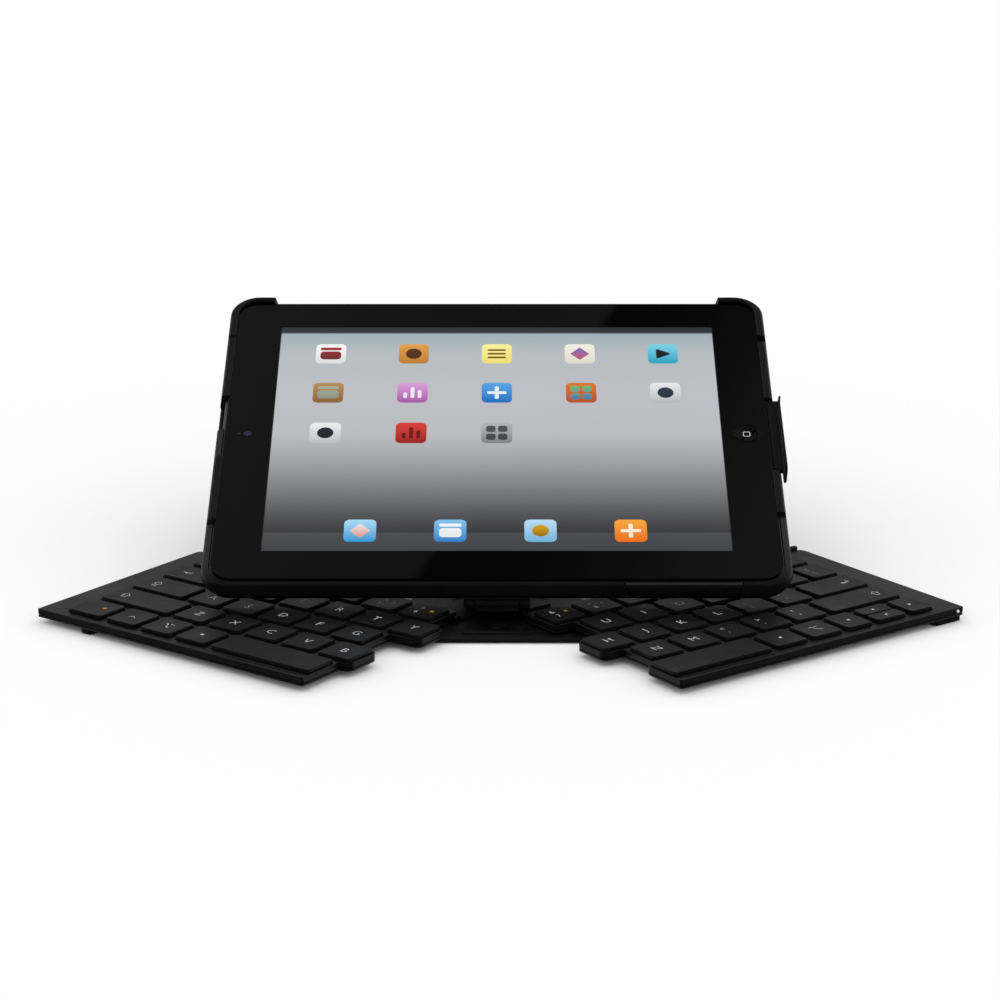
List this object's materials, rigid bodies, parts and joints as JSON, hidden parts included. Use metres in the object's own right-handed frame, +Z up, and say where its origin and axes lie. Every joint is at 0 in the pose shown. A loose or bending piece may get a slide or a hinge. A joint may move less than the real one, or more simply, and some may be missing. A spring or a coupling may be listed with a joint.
{
  "type": "tablet keyboard case",
  "caption": "Clip-on tablet tray that tilts over a split keyboard; the keyboard halves swing out from a shared pivot on a flat base, and a folding leg props the tray.",
  "frame": {"origin": "centre of the bounding box at rest, on the surface it stands on", "axes": "+X to the right as the user sees it, +Y away from the user, +Z up"},
  "size_m": [0.3846, 0.256, 0.1042],
  "materials": {
    "black_plastic": "satin moulded black ABS",
    "key_plastic": "matte moulded black key caps",
    "dark_steel": "black coated steel",
    "bright_steel": "turned and stamped steel",
    "rubber": "matte rubber",
    "circuit_board": "solder mask",
    "black_glass": "polished black cover glass",
    "display": "lit screen behind glass",
    "back_aluminium": "fine bead blasted",
    "lamp": "clear light pipe"
  },
  "bodies": {
    "base": {"base_plate": "dark_steel", "base_spine": "black_plastic", "base_tongue": "black_plastic", "tongue_rivet": "bright_steel", "pivot_post": "bright_steel", "pivot_screw": "dark_steel", "base_foot_front": "rubber", "base_foot_rear": "rubber", "hinge_carrier": "dark_steel", "tilt_pin": "bright_steel"},
    "left_half": {"left_deck": "black_plastic", "left_bottom_cover": "black_plastic", "left_circuit_board": "circuit_board", "left_pivot_arm": "bright_steel", "left_inner_foot": "rubber", "left_outer_foot": "rubber"},
    "right_half": {"right_deck": "black_plastic", "right_bottom_cover": "black_plastic", "right_circuit_board": "circuit_board", "right_pivot_arm": "bright_steel", "right_inner_foot": "rubber", "right_outer_foot": "rubber", "status_lamp": "lamp"},
    "tray": {"tablet_tray": "black_plastic", "tray_hinge_leaf": "dark_steel", "connector_guard": "black_plastic", "bottom_wall_insert": "black_plastic", "tablet_body": "back_aluminium", "tablet_bezel": "black_glass", "tablet_display": "display"},
    "leg": {"prop_leg": "dark_steel", "leg_pin": "bright_steel"},
    "switch": {"power_switch": "black_plastic"},
    "button": {"tablet_button": "black_glass"},
    "down_arrow_key": {"down_arrow_key": "key_plastic"},
    "left_caps_key": {"left_caps_key": "key_plastic"},
    "left_key_row_1": {"left_key_row_1": "key_plastic"},
    "left_key_row_2": {"left_key_row_2": "key_plastic"},
    "left_key_row_3": {"left_key_row_3": "key_plastic"},
    "left_key_row_4": {"left_key_row_4": "key_plastic"},
    "left_key_row_5": {"left_key_row_5": "key_plastic"},
    "left_shift_key": {"left_shift_key": "key_plastic"},
    "left_space_key": {"left_space_key": "key_plastic"},
    "left_tab_key": {"left_tab_key": "key_plastic"},
    "right_backspace_key": {"right_backspace_key": "key_plastic"},
    "right_key_row_1": {"right_key_row_1": "key_plastic"},
    "right_key_row_2": {"right_key_row_2": "key_plastic"},
    "right_key_row_3": {"right_key_row_3": "key_plastic"},
    "right_key_row_4": {"right_key_row_4": "key_plastic"},
    "right_key_row_5": {"right_key_row_5": "key_plastic"},
    "right_left_arrow_key": {"right_left_arrow_key": "key_plastic"},
    "right_return_key": {"right_return_key": "key_plastic"},
    "right_right_arrow_key": {"right_right_arrow_key": "key_plastic"},
    "right_shift_key": {"right_shift_key": "key_plastic"},
    "right_space_key": {"right_space_key": "key_plastic"},
    "up_arrow_key": {"up_arrow_key": "key_plastic"}
  },
  "joints": [
    {"name": "left_swing", "type": "hinge", "parent": "base", "child": "left_half", "pos_m": [-0.00178, -0.02714, 0.004], "axis": [0, 0, 1], "range_deg": [-54, 36]},
    {"name": "right_swing", "type": "hinge", "parent": "base", "child": "right_half", "pos_m": [-0.00178, -0.02714, 0.004], "axis": [0, 0, -1], "range_deg": [-54, 36]},
    {"name": "tray_tilt", "type": "hinge", "parent": "base", "child": "tray", "pos_m": [-0.00178, -0.0412, 0.00884], "axis": [1, 0, 0], "range_deg": [-26.7, 0]},
    {"name": "leg_fold", "type": "hinge", "parent": "tray", "child": "leg", "pos_m": [-0.00178, 0.02312, 0.04119], "axis": [1, 0, 0], "range_deg": [0, 53.4]},
    {"name": "switch_slide", "type": "slide", "parent": "right_half", "child": "switch", "axis": [-0.809, -0.5878, 0], "range_m": [0, 0.002]},
    {"name": "button_press", "type": "slide", "parent": "tray", "child": "button", "axis": [0, 0.4493, -0.8934], "range_m": [0, 0.0003], "stiffness_N_per_m": 900},
    {"name": "down_arrow_key_press", "type": "slide", "parent": "right_half", "child": "down_arrow_key", "axis": [0, 0, -1], "range_m": [0, 0.0011], "stiffness_N_per_m": 400},
    {"name": "left_caps_key_press", "type": "slide", "parent": "left_half", "child": "left_caps_key", "axis": [0, 0, -1], "range_m": [0, 0.0011], "stiffness_N_per_m": 400},
    {"name": "left_key_row_1_press", "type": "slide", "parent": "left_half", "child": "left_key_row_1", "axis": [0, 0, -1], "range_m": [0, 0.0011], "stiffness_N_per_m": 400},
    {"name": "left_key_row_2_press", "type": "slide", "parent": "left_half", "child": "left_key_row_2", "axis": [0, 0, -1], "range_m": [0, 0.0011], "stiffness_N_per_m": 400},
    {"name": "left_key_row_3_press", "type": "slide", "parent": "left_half", "child": "left_key_row_3", "axis": [0, 0, -1], "range_m": [0, 0.0011], "stiffness_N_per_m": 400},
    {"name": "left_key_row_4_press", "type": "slide", "parent": "left_half", "child": "left_key_row_4", "axis": [0, 0, -1], "range_m": [0, 0.0011], "stiffness_N_per_m": 400},
    {"name": "left_key_row_5_press", "type": "slide", "parent": "left_half", "child": "left_key_row_5", "axis": [0, 0, -1], "range_m": [0, 0.0011], "stiffness_N_per_m": 400},
    {"name": "left_shift_key_press", "type": "slide", "parent": "left_half", "child": "left_shift_key", "axis": [0, 0, -1], "range_m": [0, 0.0011], "stiffness_N_per_m": 400},
    {"name": "left_space_key_press", "type": "slide", "parent": "left_half", "child": "left_space_key", "axis": [0, 0, -1], "range_m": [0, 0.0011], "stiffness_N_per_m": 400},
    {"name": "left_tab_key_press", "type": "slide", "parent": "left_half", "child": "left_tab_key", "axis": [0, 0, -1], "range_m": [0, 0.0011], "stiffness_N_per_m": 400},
    {"name": "right_backspace_key_press", "type": "slide", "parent": "right_half", "child": "right_backspace_key", "axis": [0, 0, -1], "range_m": [0, 0.0011], "stiffness_N_per_m": 400},
    {"name": "right_key_row_1_press", "type": "slide", "parent": "right_half", "child": "right_key_row_1", "axis": [0, 0, -1], "range_m": [0, 0.0011], "stiffness_N_per_m": 400},
    {"name": "right_key_row_2_press", "type": "slide", "parent": "right_half", "child": "right_key_row_2", "axis": [0, 0, -1], "range_m": [0, 0.0011], "stiffness_N_per_m": 400},
    {"name": "right_key_row_3_press", "type": "slide", "parent": "right_half", "child": "right_key_row_3", "axis": [0, 0, -1], "range_m": [0, 0.0011], "stiffness_N_per_m": 400},
    {"name": "right_key_row_4_press", "type": "slide", "parent": "right_half", "child": "right_key_row_4", "axis": [0, 0, -1], "range_m": [0, 0.0011], "stiffness_N_per_m": 400},
    {"name": "right_key_row_5_press", "type": "slide", "parent": "right_half", "child": "right_key_row_5", "axis": [0, 0, -1], "range_m": [0, 0.0011], "stiffness_N_per_m": 400},
    {"name": "right_left_arrow_key_press", "type": "slide", "parent": "right_half", "child": "right_left_arrow_key", "axis": [0, 0, -1], "range_m": [0, 0.0011], "stiffness_N_per_m": 400},
    {"name": "right_return_key_press", "type": "slide", "parent": "right_half", "child": "right_return_key", "axis": [0, 0, -1], "range_m": [0, 0.0011], "stiffness_N_per_m": 400},
    {"name": "right_right_arrow_key_press", "type": "slide", "parent": "right_half", "child": "right_right_arrow_key", "axis": [0, 0, -1], "range_m": [0, 0.0011], "stiffness_N_per_m": 400},
    {"name": "right_shift_key_press", "type": "slide", "parent": "right_half", "child": "right_shift_key", "axis": [0, 0, -1], "range_m": [0, 0.0011], "stiffness_N_per_m": 400},
    {"name": "right_space_key_press", "type": "slide", "parent": "right_half", "child": "right_space_key", "axis": [0, 0, -1], "range_m": [0, 0.0011], "stiffness_N_per_m": 400},
    {"name": "up_arrow_key_press", "type": "slide", "parent": "right_half", "child": "up_arrow_key", "axis": [0, 0, -1], "range_m": [0, 0.0011], "stiffness_N_per_m": 400}
  ],
  "couplings": [
    {"joint": "leg_fold", "follows": "tray_tilt", "ratio": -2}
  ]
}
